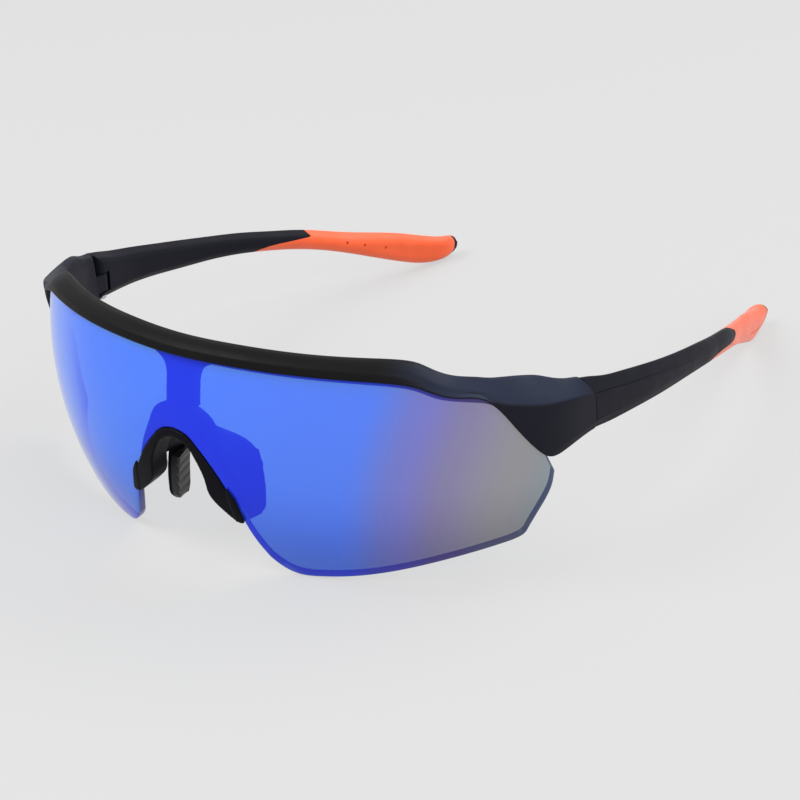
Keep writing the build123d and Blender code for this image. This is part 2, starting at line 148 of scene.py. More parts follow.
def clean_up(obj, sharp_deg=40):
    """Merge doubles, point the normals out, shade smooth with sharp edges kept."""
    bm = bmesh.new()
    bm.from_mesh(obj.data)
    bmesh.ops.remove_doubles(bm, verts=bm.verts, dist=2e-6)
    bmesh.ops.recalc_face_normals(bm, faces=bm.faces)
    bm.to_mesh(obj.data)
    bm.free()
    obj.data.shade_smooth()
    obj.data.set_sharp_from_angle(angle=radians(sharp_deg))


def mirror_image(obj, name):
    """The same piece on the other side of the face."""
    mesh = obj.data.copy()
    mesh.name = name
    mesh.transform(Matrix.Scale(-1, 4, (1, 0, 0)))
    mesh.flip_normals()
    copy = bpy.data.objects.new(name, mesh)
    bpy.context.scene.collection.objects.link(copy)
    return copy


def joined(name, objects):
    """One object from several; the first one's name is replaced."""
    bpy.ops.object.select_all(action="DESELECT")
    for o in objects:
        o.select_set(True)
    bpy.context.view_layer.objects.active = objects[0]
    bpy.ops.object.join()
    objects[0].name = name
    objects[0].data.name = name
    return objects[0]


def apply_modifiers(obj):
    """Leave the evaluated mesh on the object, with no modifier."""
    graph = bpy.context.evaluated_depsgraph_get()
    mesh = bpy.data.meshes.new_from_object(obj.evaluated_get(graph))
    obj.modifiers.clear()
    obj.data = mesh


def boolean(obj, cutter, operation):
    mod = obj.modifiers.new("cut", "BOOLEAN")
    mod.operation = operation
    mod.solver = "EXACT"
    mod.object = cutter
    apply_modifiers(obj)
    bpy.data.objects.remove(cutter)


def box_mesh(name, low, high):
    """Axis-aligned box cutter in model-frame millimetres."""
    (x0, y0, z0), (x1, y1, z1) = low, high
    v = [(x, y, z) for z in (z0, z1) for y in (y0, y1) for x in (x0, x1)]
    f = [(0, 2, 3, 1), (4, 5, 7, 6), (0, 1, 5, 4), (2, 6, 7, 3), (0, 4, 6, 2), (1, 3, 7, 5)]
    return make_object(name, v, f)


def tube_mesh(name, radius, z0, z1, at=PIN, sides=48):
    """Upright cylinder in model-frame millimetres."""
    a = np.linspace(0, 2 * pi, sides, endpoint=False)
    ring = np.stack([at[0] + radius * np.cos(a), at[1] + radius * np.sin(a)], axis=1)
    v = [(x, y, z0) for x, y in ring] + [(x, y, z1) for x, y in ring]
    f = [(i, (i + 1) % sides, sides + (i + 1) % sides, sides + i) for i in range(sides)]
    f += [tuple(range(sides))[::-1], tuple(range(sides, 2 * sides))]
    return make_object(name, v, f)


def grid_faces(rows, columns, closed=True):
    """Quads of a grid of points whose columns close up on themselves."""
    faces = []
    last = columns if closed else columns - 1
    for i in range(rows - 1):
        for j in range(last):
            k = (j + 1) % columns
            faces.append((i * columns + j, i * columns + k,
                          (i + 1) * columns + k, (i + 1) * columns + j))
    return faces


def capped(rows):
    """Closed skin over a stack of equal rings of points."""
    n = len(rows[0])
    verts = np.vstack(rows)
    faces = grid_faces(len(rows), n)
    faces.append(tuple(range(n))[::-1])
    faces.append(tuple(range((len(rows) - 1) * n, len(rows) * n)))
    return verts, faces


def eased(corners, cuts, steps=5):
    """Closed polygon with its corners eased over the given distances, as a ring of points."""
    n = len(corners)
    ring = []
    for i in range(n):
        here, before, after = corners[i], corners[i - 1], corners[(i + 1) % n]
        to_before, to_after = before - here, after - here
        cut = min(cuts[i], 0.45 * np.linalg.norm(to_before), 0.45 * np.linalg.norm(to_after))
        a = here + to_before * (cut / np.linalg.norm(to_before))
        b = here + to_after * (cut / np.linalg.norm(to_after))
        for t in np.linspace(0, 1, steps):
            ring.append(a * (1 - t) ** 2 + here * 2 * t * (1 - t) + b * t ** 2)
    return np.array(ring)


def with_mids(ring, steps, per_edge):
    """Adds points along the straight stretches between the eased corners of a ring."""
    n = len(ring) // steps
    out = []
    for i in range(n):
        out.extend(ring[i * steps:(i + 1) * steps])
        a, b = ring[(i + 1) * steps - 1], ring[((i + 1) % n) * steps]
        for t in np.linspace(0, 1, per_edge + 2)[1:-1]:
            out.append(a + (b - a) * t)
    return np.array(out)


# ------------------------------------------------------------------ materials


def new_material(name):
    mat = bpy.data.materials.new(name)
    mat.use_nodes = True
    tree = mat.node_tree
    tree.nodes.clear()
    out = tree.nodes.new("ShaderNodeOutputMaterial")
    bsdf = tree.nodes.new("ShaderNodeBsdfPrincipled")
    tree.links.new(bsdf.outputs[0], out.inputs[0])
    return mat, tree, bsdf, out


def node(tree, kind, inputs=(), **props):
    n = tree.nodes.new(kind)
    for key, value in props.items():
        setattr(n, key, value)
    for key, value in dict(inputs).items():
        if isinstance(value, bpy.types.NodeSocket):
            tree.links.new(value, n.inputs[key])
        else:
            n.inputs[key].default_value = value
    return n


def position(tree):
    """Where a point is on the object at rest."""
    return node(tree, "ShaderNodeTexCoord").outputs["Object"]


def noise(tree, where, scale, detail=3.0, roughness=0.55):
    n = node(tree, "ShaderNodeTexNoise", {"Vector": where, "Scale": scale, "Detail": detail,
                                          "Roughness": roughness})
    return n.outputs["Fac"]


def mapped(tree, value, low, high, to_low=0.0, to_high=1.0, smooth=True):
    n = node(tree, "ShaderNodeMapRange", {"Value": value, "From Min": low, "From Max": high,
                                          "To Min": to_low, "To Max": to_high})
    if smooth:
        n.interpolation_type = "SMOOTHSTEP"
    return n.outputs["Result"]


def mixed(tree, factor, a, b, kind="MIX"):
    n = node(tree, "ShaderNodeMix", data_type="RGBA", blend_type=kind)
    for i, value in ((0, factor), (6, a), (7, b)):
        if isinstance(value, bpy.types.NodeSocket):
            tree.links.new(value, n.inputs[i])
        else:
            n.inputs[i].default_value = value
    return n.outputs[2]


def math(tree, operation, a, b=0.0):
    return node(tree, "ShaderNodeMath", {0: a, 1: b}, operation=operation).outputs[0]


def bump(tree, height, strength, distance):
    n = node(tree, "ShaderNodeBump", {"Height": height, "Strength": strength,
                                      "Distance": distance})
    return n.outputs["Normal"]


def ramp(tree, value, stops):
    n = node(tree, "ShaderNodeValToRGB", {"Fac": value})
    elements = n.color_ramp.elements
    while len(elements) < len(stops):
        elements.new(0.5)
    for e, (at, colour) in zip(elements, stops):
        e.position = at
        e.color = (*colour, 1.0)
    n.color_ramp.interpolation = "EASE"
    return n.outputs["Color"]


def plastic(name, dark, light, rough, grain=2600.0, grain_depth=0.00004, specular=0.07):
    """Matte moulded plastic: spark-eroded grain, soft blotches, uneven gloss."""
    mat, tree, bsdf, _ = new_material(name)
    at = position(tree)
    blotch = noise(tree, at, 60.0)
    fine = noise(tree, at, grain, 2.0)
    colour = mixed(tree, blotch, (*dark, 1), (*light, 1))
    tree.links.new(colour, bsdf.inputs["Base Color"])
    gloss = mapped(tree, noise(tree, at, 140.0), 0.3, 0.7, rough - 0.04, rough + 0.05)
    tree.links.new(gloss, bsdf.inputs["Roughness"])
    tree.links.new(bump(tree, fine, 0.25, grain_depth), bsdf.inputs["Normal"])
    bsdf.inputs["Specular IOR Level"].default_value = specular
    return mat, tree, bsdf, colour, at


def frame_material():
    """Black bar that turns navy towards the end pieces.

    Faces that look up get painted light, a brighter navy, most of all on the wearer's left."""
    mat, tree, bsdf, black, at = plastic("frame_paint", (0.0040, 0.0040, 0.0042),
                                         (0.0060, 0.0060, 0.0062), 0.46)
    xyz = node(tree, "ShaderNodeSeparateXYZ", {0: at})
    across = math(tree, "ABSOLUTE", xyz.outputs[0])
    share = mapped(tree, across, 0.042, 0.054)
    navy = mixed(tree, noise(tree, at, 60.0), (0.0075, 0.0075, 0.0130, 1),
                 (0.0100, 0.0100, 0.0165, 1))
    # painted light: a brighter navy for the faces that look up
    painted_top_light = (0.0125, 0.0165, 0.0330, 1)
    facing = node(tree, "ShaderNodeSeparateXYZ",
                  {0: node(tree, "ShaderNodeTexCoord").outputs["Normal"]})
    # mask of the painted light from above, stronger on the wearer's left
    up = mapped(tree, facing.outputs[2], 0.30, 0.75)
    up = math(tree, "MULTIPLY", up, mapped(tree, xyz.outputs[0], -0.02, 0.03, 0.25, 1.0))
    navy = mixed(tree, up, navy, painted_top_light)
    tree.links.new(mixed(tree, share, black, navy), bsdf.inputs["Base Color"])
    return mat


def arm_material():
    mat, *_ = plastic("arm_navy_satin", (0.0060, 0.0060, 0.0105), (0.0082, 0.0082, 0.0138), 0.44,
                      specular=0.055)
    return mat


def bridge_material():
    mat, *_ = plastic("bridge_moulded", (0.0026, 0.0026, 0.0042), (0.0040, 0.0040, 0.0062), 0.40,
                      specular=0.05)
    return mat


def rubber(name, dark, light, rough, sheen):
    """Soft moulded rubber: velvety, with fine skin and faint handling marks."""
    mat, tree, bsdf, _ = new_material(name)
    at = position(tree)
    colour = mixed(tree, mapped(tree, noise(tree, at, 90.0, 4.0), 0.3, 0.7),
                   (*dark, 1), (*light, 1))
    tree.links.new(colour, bsdf.inputs["Base Color"])
    gloss = mapped(tree, noise(tree, at, 220.0), 0.3, 0.7, rough - 0.05, rough + 0.06)
    tree.links.new(gloss, bsdf.inputs["Roughness"])
    tree.links.new(bump(tree, noise(tree, at, 3200.0, 2.0), 0.3, 0.00005),
                   bsdf.inputs["Normal"])
    bsdf.inputs["Sheen Weight"].default_value = sheen
    bsdf.inputs["Sheen Roughness"].default_value = 0.4
    bsdf.inputs["Specular IOR Level"].default_value = 0.4
    return mat


def steel_material():
    mat, tree, bsdf, _ = new_material("screw_steel_turned")
    at = position(tree)
    stretch = node(tree, "ShaderNodeMapping", {"Vector": at, "Scale": (1.0, 1.0, 12.0)})
    lines = noise(tree, stretch.outputs[0], 900.0, 2.0)
    tree.links.new(mixed(tree, lines, (0.45, 0.45, 0.47, 1), (0.66, 0.66, 0.68, 1)),
                   bsdf.inputs["Base Color"])
    tree.links.new(mapped(tree, lines, 0.3, 0.7, 0.24, 0.38), bsdf.inputs["Roughness"])
    bsdf.inputs["Metallic"].default_value = 1.0
    return mat


COAT_OPAQUE_PAINTED_LIGHT_X = (-0.042, -0.018)  # metres: the coat is opaque and painted a lighter blue before the first, not past the second


def lens_coordinate(tree, at):
    """Rises towards the lens's temporal edges, faster on the wearer's left, and downwards; it
    places the coat's painted reflection colours.
    """
    xyz = node(tree, "ShaderNodeSeparateXYZ", {0: at})
    side = math(tree, "MAXIMUM", math(tree, "ADD", xyz.outputs[0], 0.007),
                math(tree, "MULTIPLY", xyz.outputs[0], -0.55))
    tilt = math(tree, "MULTIPLY", xyz.outputs[2], -0.22)
    waver = math(tree, "MULTIPLY", noise(tree, at, 22.0, 1.0), 0.004)
    return math(tree, "ADD", math(tree, "ADD", side, tilt), waver), xyz


def lens_coat_material():
    """Blue mirror coat with painted reflection colours: violet and grey towards the temporal edges.

    It is partly clear on the wearer's left, opaque and painted lighter at the far right, and a
    plain tint from behind."""
    mat, tree, bsdf, out = new_material("lens_mirror_coat")
    at = position(tree)
    u, xyz = lens_coordinate(tree, at)
    along = mapped(tree, u, 0.0, 0.080, 0.0, 1.0, smooth=False)
    # painted reflection: the drift from blue to violet and grey towards the temporal edges
    colour = ramp(tree, along, [
        (0.00, (0.017, 0.048, 1.00)), (0.50, (0.018, 0.045, 0.95)),
        (0.62, (0.050, 0.045, 0.55)), (0.73, (0.085, 0.060, 0.27)),
        (0.85, (0.095, 0.100, 0.15)), (0.96, (0.060, 0.120, 0.17))])
    # painted light: on the wearer's right the coat turns opaque and a lighter blue
    opaque = mapped(tree, xyz.outputs[0], *COAT_OPAQUE_PAINTED_LIGHT_X, 1.0, 0.0)
    colour = mixed(tree, opaque, colour, (0.09, 0.22, 0.82, 1))
    # painted shade: the coat's colour is darkened towards the bottom
    low = mapped(tree, xyz.outputs[2], 0.001, 0.026, 0.60, 1.0)
    shade = mixed(tree, 1.0, colour, node(tree, "ShaderNodeCombineColor",
                                          {0: low, 1: low, 2: low}).outputs[0], "MULTIPLY")
    tree.links.new(shade, bsdf.inputs["Base Color"])
    bsdf.inputs["Metallic"].default_value = 0.30
    bsdf.inputs["Specular IOR Level"].default_value = 0.35
    bsdf.inputs["Sheen Weight"].default_value = 0.16
    bsdf.inputs["Sheen Roughness"].default_value = 0.22
    bsdf.inputs["Sheen Tint"].default_value = (0.85, 0.92, 0.95, 1)
    haze = mapped(tree, noise(tree, at, 160.0, 3.0), 0.35, 0.65, 0.09, 0.13)
    tree.links.new(haze, bsdf.inputs["Roughness"])
    # the see-through tint follows the same drift as the painted reflection colours
    tint = ramp(tree, along, [
        (0.00, (0.40, 0.98, 1.00)), (0.50, (0.42, 0.92, 0.95)), (0.67, (0.80, 0.78, 0.88)),
        (0.82, (0.96, 0.90, 0.84)), (0.97, (0.75, 0.92, 0.92))])
    clear = node(tree, "ShaderNodeBsdfTransparent", {"Color": tint})
    share = mapped(tree, along, 0.56, 0.90, 0.33, 0.41)
    # painted shade: the lens is less see-through towards the bottom
    share = math(tree, "MULTIPLY", share, mapped(tree, xyz.outputs[2], 0.002, 0.028, 0.58, 1.0))
    share = math(tree, "MULTIPLY", share, math(tree, "SUBTRACT", 1.0, opaque))
    edge_on = node(tree, "ShaderNodeLayerWeight", {"Blend": 0.5}).outputs["Facing"]
    share = math(tree, "MULTIPLY", share, mapped(tree, edge_on, 0.64, 0.94, 1.0, 0.0))
    front = node(tree, "ShaderNodeMixShader", {0: share, 1: bsdf.outputs[0],
                                               2: clear.outputs[0]})
    behind = node(tree, "ShaderNodeBsdfTransparent", {"Color": (0.36, 0.42, 0.58, 1)})
    from_behind = node(tree, "ShaderNodeNewGeometry").outputs["Backfacing"]
    mix = node(tree, "ShaderNodeMixShader", {0: from_behind, 1: front.outputs[0],
                                             2: behind.outputs[0]})
    tree.links.new(mix.outputs[0], out.inputs[0])
    return mat


def lens_body_material():
    """Tinted polycarbonate at the back of the lens."""
    mat, tree, bsdf, out = new_material("lens_tinted_body")
    at = position(tree)
    tint = mixed(tree, noise(tree, at, 40.0), (0.010, 0.018, 0.08, 1), (0.014, 0.024, 0.10, 1))
    tree.links.new(tint, bsdf.inputs["Base Color"])
    bsdf.inputs["Roughness"].default_value = 0.07
    bsdf.inputs["IOR"].default_value = 1.58
    clear = node(tree, "ShaderNodeBsdfTransparent", {"Color": (0.94, 0.96, 0.96, 1)})
    mix = node(tree, "ShaderNodeMixShader", {0: 0.80, 1: bsdf.outputs[0], 2: clear.outputs[0]})
    tree.links.new(mix.outputs[0], out.inputs[0])
    return mat


def lens_edge_material():
    mat, tree, bsdf, _ = new_material("lens_cut_edge")
    at = position(tree)
    tint = mixed(tree, noise(tree, at, 300.0), (0.006, 0.012, 0.14, 1), (0.012, 0.022, 0.22, 1))
    tree.links.new(tint, bsdf.inputs["Base Color"])
    tree.links.new(mapped(tree, noise(tree, at, 900.0), 0.3, 0.7, 0.16, 0.30),
                   bsdf.inputs["Roughness"])
    return mat


# ------------------------------------------------------------------ plates that follow the lens


def sphere_plate(name, ring, r_out, r_in, edge, materials=(), fill=1.6, turns=4):
    """Plate between two spheres about the lens centre, with rounded rims.

    Slots: 0 front, 1 back, 2 rim."""
    normals = ring_normals(ring)
    rows, n = [], len(ring)
    thick = r_out - r_in
    for t in np.linspace(0, pi / 2, turns):
        rows.append((edge * (1 - sin(t)), edge * (1 - cos(t))))
    rows += [(i, thick - d) for i, d in reversed(rows)]
    verts = [on_sphere(ring - normals * i, r_out - d) for i, d in rows]
    faces = [tuple(reversed(f)) for f in grid_faces(len(rows), n)]
    slots = [2 if turns - 1 <= k // n < turns else (0 if k // n < turns - 1 else 1)
             for k in range(len(faces))]
    inner = ring - normals * rows[0][0]
    low, high = inner.min(0), inner.max(0)
    xs = np.arange(low[0] + fill / 2, high[0], fill)
    zs = np.arange(low[1] + fill / 2, high[1], fill)
    grid = np.array([(x, z) for x in xs for z in zs])
    keep = inside(grid, inner) & (distance_to(grid, inner) > 0.45 * fill)
    grid = grid[keep]
    flat = np.vstack([inner, grid])
    edges = [(i, (i + 1) % n) for i in range(n)]
    points = [Vector(p) for p in flat]
    v2, _, f2, orig, _, _ = delaunay_2d_cdt(points, edges, [], 1, 1e-7)
    index, free = [], list(grid)
    for point, source in zip(v2, orig):
        index.append(source[0] if source else n + len(free))
        if not source:
            free.append(point)
    free = np.array([tuple(p) for p in free])
    base = len(rows) * n
    verts += [on_sphere(free, r_out), on_sphere(free, r_in)]
    last = (len(rows) - 1) * n

    def number(i, back):
        k = index[i]
        if k < n:
            return k + (last if back else 0)
        return base + (k - n) + (len(free) if back else 0)

    for f in f2:
        faces.append([number(i, False) for i in f])
        slots.append(0)
        faces.append([number(i, True) for i in reversed(f)])
        slots.append(1)
    return make_object(name, np.vstack(verts), faces, materials,
                       slots if materials else None, sharp_deg=60)


def inside(points, ring):
    """Which points lie inside a closed ring, by crossings."""
    a, b = ring, np.roll(ring, -1, axis=0)
    px, pz = points[:, 0][:, None], points[:, 1][:, None]
    spans = (a[:, 1] > pz) != (b[:, 1] > pz)
    rise = np.where(b[:, 1] == a[:, 1], 1e-9, b[:, 1] - a[:, 1])
    cross = a[:, 0] + (pz - a[:, 1]) * (b[:, 0] - a[:, 0]) / rise
    return (spans & (px < cross)).sum(axis=1) % 2 == 1


def distance_to(points, ring):
    gap = points[:, None, :] - ring[None, :, :]
    return np.sqrt((gap ** 2).sum(axis=2)).min(axis=1)


LENS_HALF = [
    [(0, 51.9), (25.5, 51.7), (40.4, 50.9), (47.2, 50.1), (53.6, 47.4), (60.0, 45.4),
     (62.6, 43.2)],
    [(62.6, 43.2), (65.5, 37.6), (67.3, 31.5), (68.6, 24.4)],
    [(68.6, 24.4), (68.1, 21.0), (65.9, 14.9), (63.9, 10.4)],
    [(63.9, 10.4), (63.0, 8.8), (61.2, 7.8)],
    [(61.2, 7.8), (50.2, 4.7), (39.4, 1.8), (31.6, 0.5), (26.6, 0.1)],
    [(26.6, 0.1), (23.4, 0.35), (20.6, 2.0), (18.3, 4.8)],
    [(18.3, 4.8), (15.9, 10.6), (14.3, 15.8), (12.1, 21.5), (8.2, 27.9), (5.6, 31.0)],
    [(5.6, 31.0), (3.2, 33.1), (0, 33.9)],
]


def build_lens():
    ring = outline_points(LENS_HALF, 0.7)
    mats = [lens_coat_material(), lens_body_material(), lens_edge_material()]
    lens = sphere_plate("lens_shield", ring, LENS_R, LENS_R - LENS_T, 0.30, mats, fill=1.5)
    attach(lens, "front")
    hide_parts("shield_lens")


# ------------------------------------------------------------------ front frame

RING = [  # x, z of the lower front edge, rise of the top edge, bulge
    (0.0, 50.7, 3.2, 1.0),
    (13.0, 50.75, 3.2, 1.0),
    (25.5, 50.5, 3.2, 1.0),
    (35.0, 50.1, 3.3, 1.0),
    (43.0, 49.5, 3.6, 1.0),
    (47.6, 48.8, 3.9, 0.9),
    (50.6, 47.8, 4.1, 0.65),
    (53.4, 46.3, 3.9, 0.4),
    (56.7, 45.2, 3.4, 0.15),
    (60.0, 44.4, 3.4, 0.0),
]
BAR_DROP = 2.2                # how far the bar's inner side hangs below its front edge
END = [  # x, y, heading, crease z, lower edge z, top edge z, top depth, inner depth, inner z
    (62.5, 28.4, 52.0, 43.4, 41.6, 47.3, 4.5, 6.1, 41.2),
    (65.2, 31.3, 55.0, 42.4, 36.6, 46.9, 5.1, 6.8, 38.0),
    (67.4, 34.6, 59.0, 41.5, 31.8, 46.3, 5.5, 7.3, 33.6),
    (69.1, 38.2, 63.0, 40.8, 28.6, 45.4, 5.4, 7.2, 30.2),
    (70.3, 42.5, 68.0, 40.2, 28.7, 43.8, 4.7, 6.6, 29.2),
    (71.0, 47.7, 75.0, 39.1, 29.4, 42.5, 3.5, 5.9, 29.4),
    (71.3, 53.0, 83.0, 37.8, 29.5, 41.7, 2.6, 5.6, 29.5),
    (71.6, 58.0, 86.0, 36.8, 29.2, 40.6, 2.3, 5.5, 29.2),
]
BAR_EASE = 4                  # points on each eased corner


def bar_section(x, z_low, rise, bulge):
    """Section of the brow bar where it follows the lens sphere."""
    rho = sqrt((LENS_R + BAR_PROUD) ** 2 - (z_low - LENS_C[2]) ** 2)
    phi = atan2(x, sqrt(rho ** 2 - x ** 2))
    slope = rise / 4.4
    profile = [
        (0.35, z_low), (0.0, z_low + 0.45),
        (0.35 + 0.6 * (1 - bulge), z_low + 0.7 + 1.3 * bulge),
        (1.5, z_low + 1.5 * slope + 0.2 + 1.6 * bulge),
        (2.9, z_low + 2.9 * slope + 0.1 + 1.15 * bulge),
        (4.6, z_low + rise + 0.1), (5.4, z_low + rise - 0.8), (5.8, z_low + 0.6),
        (5.8, z_low - BAR_DROP), (4.2, z_low - BAR_DROP - 0.2), (1.3, z_low - 0.1),
    ]
    out = np.array([sin(phi), -cos(phi), 0])
    centre = np.array([0, LENS_C[1], 0])
    corners = [centre + out * (rho - d) + [0, 0, z] for d, z in profile]
    return eased(corners, [0.12, 0.2, 0.35, 0.5, 0.5, 0.4, 0.3, 0.4, 0.3, 0.3, 0.25], BAR_EASE)


def end_section(x, y, heading, z_crease, z_low, z_top, d_top, d_in, z_in):
    """Section of the end piece, from the gusset back to the hinge."""
    inward = np.array([-sin(radians(heading)), cos(radians(heading)), 0])
    profile = [
        (0.45, z_low), (0.1, z_low + min(1.6, 0.25 * (z_crease - z_low))), (0.0, z_crease),
        (0.3 * d_top, z_crease + 0.33 * (z_top - z_crease)),
        (0.65 * d_top, z_crease + 0.68 * (z_top - z_crease)),
        (d_top, z_top), (d_in - 0.4, z_top - 0.35 * (d_in - d_top)), (d_in, z_top - 2.4),
        (d_in, z_in), (min(4.2, d_in - 1.3), z_in - 0.1), (1.4, z_low - 0.05),
    ]
    corners = [np.array([x, y, 0]) + inward * d + [0, 0, z] for d, z in profile]
    return eased(corners, [0.12, 0.2, 0.5, 0.35, 0.35, 0.5, 0.4, 0.4, 0.35, 0.3, 0.25], BAR_EASE)


def build_frame():
    half = [bar_section(*row) for row in RING] + [end_section(*row) for row in END]
    sections = [s * [-1, 1, 1] for s in reversed(half[1:])] + half
    sections = [with_mids(s, BAR_EASE, 2) for s in sections]
    stack = np.array(sections)
    step = np.linalg.norm(np.diff(stack.mean(axis=1), axis=0), axis=1)
    t = np.concatenate([[0], np.cumsum(step)])
    curve = natural_cubic(t, stack.reshape(len(t), -1))
    rows = [curve(x).reshape(-1, 3) for x in np.linspace(0, t[-1], 360)]
    verts, faces = capped(rows)
    paint = frame_material()
    bar = make_object("front_frame_bar", verts, faces, [paint], sharp_deg=50)
    for side in (1, -1):
        trim(bar, -RUN_GAP / 2, side)
        end_relief(bar, side)
    clean_up(bar, 50)
    post_half = [
        [(0, 50.6), (10.5, 50.2)],
        [(10.5, 50.2), (7.4, 48.9), (4.6, 47.2), (3.8, 44.6)],
        [(3.8, 44.6), (3.8, 38.5)],
        [(3.8, 38.5), (0, 38.5)],
    ]
    post = sphere_plate("post", outline_points(post_half, 0.5), LENS_R - 2.35, LENS_R - 5.0,
                        0.25, [paint], fill=1.2)
    post.data.polygons.foreach_set("material_index", [0] * len(post.data.polygons))
    lugs = []
    for side in (1, -1):
        lugs.append(hinge_lug("lug", side, paint))
    bar = joined("front_frame_bar", [bar, post] + lugs)
    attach(bar, "front")
    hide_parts("front_frame")


def end_relief(bar, side):
    """Room cut out behind the end piece, so that the arm can fold."""
    x = PIN[0] * side
    sweep = tube_mesh("sweep", EAR_R + RUN_GAP, *CUT_Z, at=(x, PIN[1]))
    boolean(bar, sweep, "DIFFERENCE")
    low, high = sorted((x, x - CUT_REACH * side))
    behind = box_mesh("behind", (low, PIN[1] - EAR_R - RUN_GAP, CUT_Z[0]),
                      (high, PIN[1] + CUT_REACH, CUT_Z[1]))
    boolean(bar, behind, "DIFFERENCE")


def trim(obj, offset, side):
    """Cut a piece at the joint face between front and arm, on the given side of the face."""
    normal = Vector((MITRE_N.x * side, MITRE_N.y, MITRE_N.z))
    at = Vector((MITRE_AT[0] * side, MITRE_AT[1] - BOX_SHIFT_Y, MITRE_AT[2])) * 0.001
    at += normal * (offset * 0.001)
    bm = bmesh.new()
    bm.from_mesh(obj.data)
    near = [v for v in bm.verts if v.co.x * side > 0.05]
    geom = near + [e for e in bm.edges if e.verts[0].co.x * side > 0.05]
    geom += [f for f in bm.faces if f.calc_center_median().x * side > 0.05]
    geom = list(dict.fromkeys(geom))
    cut = bmesh.ops.bisect_plane(bm, geom=geom, plane_co=at, plane_no=normal,
                                 clear_outer=offset < 0, clear_inner=offset > 0)
    rim = [e for e in cut["geom_cut"] if isinstance(e, bmesh.types.BMEdge)]
    bmesh.ops.holes_fill(bm, edges=rim, sides=0)
    bm.to_mesh(obj.data)
    bm.free()
    clean_up(obj, 50)


def hinge_lug(name, side, paint):
    """Round lug between the arm's two ears, with its neck into the end piece."""
    z0, z1 = LUG_Z
    turns = np.linspace(-0.5 * pi, 0.5 * pi, 25)
    arc = [(PIN[0] + EAR_R * cos(a + pi / 2), PIN[1] + EAR_R * sin(a + pi / 2)) for a in turns]
    ring = [(PIN[0] + EAR_R, LUG_ROOT_Y)] + arc + [(PIN[0] - EAR_R, LUG_ROOT_Y)]
    rows = []
    for inset, z in ((0.15, z0), (0.04, z0 + 0.04), (0, z0 + 0.15),
                     (0, z1 - 0.15), (0.04, z1 - 0.04), (0.15, z1)):
        mid = np.mean(ring, axis=0)
        flat = mid + (np.array(ring) - mid) * (1 - inset / EAR_R)
        rows.append(np.column_stack([flat[:, 0] * side, flat[:, 1], np.full(len(flat), z)]))
    verts, faces = capped(rows)
    return make_object(name, verts, faces, [paint], sharp_deg=50)


# ------------------------------------------------------------------ temple arms and sleeves

ARM = [  # y, crease x z, top edge x z, lower crease z, bottom x z, inner x, drop, rise, ease
    (47.5, 70.7, 39.0, 68.1, 42.5, 31.7, 70.1, 29.5, 65.6, 0.9, 0.3, 0.40),
    (53.0, 71.2, 37.8, 68.8, 41.3, 31.5, 70.6, 29.4, 65.6, 1.0, 0.4, 0.40),
    (58.0, 71.5, 36.8, 69.5, 39.8, 31.2, 70.9, 28.7, 66.3, 1.2, 0.7, 0.40),
    (66.0, 71.8, 35.0, 70.0, 37.9, 30.1, 71.2, 27.7, 67.3, 1.3, 0.9, 0.45),
    (75.0, 71.9, 33.1, 70.1, 35.8, 28.8, 71.3, 26.6, 67.6, 1.3, 0.9, 0.50),
    (85.0, 71.6, 30.8, 70.0, 33.5, 27.3, 71.0, 25.2, 67.5, 1.3, 0.8, 0.60),
    (97.0, 70.9, 28.1, 69.3, 30.8, 25.6, 70.4, 23.7, 66.8, 1.3, 0.7, 0.65),
    (109.0, 69.7, 25.6, 68.2, 28.1, 23.4, 69.2, 21.7, 65.5, 1.3, 0.6, 0.70),
    (120.0, 68.0, 23.0, 66.6, 25.3, 21.0, 67.4, 19.3, 63.7, 1.4, 0.5, 0.75),
    (132.0, 65.5, 20.0, 64.2, 22.2, 17.8, 64.8, 16.1, 61.2, 1.5, 0.4, 0.80),
    (143.0, 62.0, 16.8, 61.0, 18.7, 14.1, 61.7, 12.3, 57.6, 1.9, 0.3, 0.85),
    (153.0, 59.1, 13.6, 58.0, 15.8, 10.5, 58.6, 8.2, 55.0, 1.9, 0.1, 0.90),
    (163.0, 56.5, 10.4, 55.2, 12.9, 6.8, 55.7, 4.0, 52.3, 1.7, 0.1, 0.95),
    (172.0, 54.1, 7.2, 52.6, 9.7, 3.8, 53.2, 1.0, 49.7, 1.4, 0.1, 0.95),
    (180.0, 52.0, 5.2, 50.2, 7.2, 2.4, 50.9, 0.05, 47.6, 0.7, 0.6, 0.90),
    (183.6, 51.0, 4.5, 49.7, 6.2, 2.3, 50.4, 0.25, 47.9, 0.4, 0.6, 0.70),
    (185.3, 50.7, 4.1, 49.8, 5.2, 2.6, 50.2, 1.1, 48.4, 0.4, 0.3, 0.50),
    (186.0, 50.5, 3.9, 49.9, 4.6, 3.1, 50.2, 2.1, 48.9, 0.3, 0.1, 0.30),
]
ARM_EASE = 5
ARM_MIDS = 5
SEAM_GAP = 0.10               # half the width of the fine line between arm and sleeve
SEAM_STEP = 0.02              # how far along the temple each side dips at that line
ARM_DIP = 0.22                # depth of that dip on the arm, and on the sleeve
SLEEVE_DIP = 0.25
PLACE_Y = 126.0               # where along the temple the corners' places are measured
TIP_ROUND = (178.6, 4.6, 4.5)  # y, z and radius of the sleeve's end on the inner side
TIP_OUTSIDE = 185.5           # y of the sleeve's end on the outer side
CORE_INSET = 1.0
SLEEVE_HOLES = [(58.2, 143.2, 15.6), (56.4, 149.2, 13.3), (54.2, 156.6, 10.4)]
GROOVES = [  # corner of the section, then stations y and depths of a fine line along it
    (2, (47.0, 100.0, 118.0), (0.20, 0.17, 0.0)),
    (1, (47.0, 60.0, 80.0, 161.0, 165.0, 180.0, 184.0), (0.16, 0.12, 0.0, 0.0, 0.32, 0.32, 0.0)),
    (0, (170.0, 174.0, 180.0, 184.5), (0.0, 0.32, 0.32, 0.0)),
]


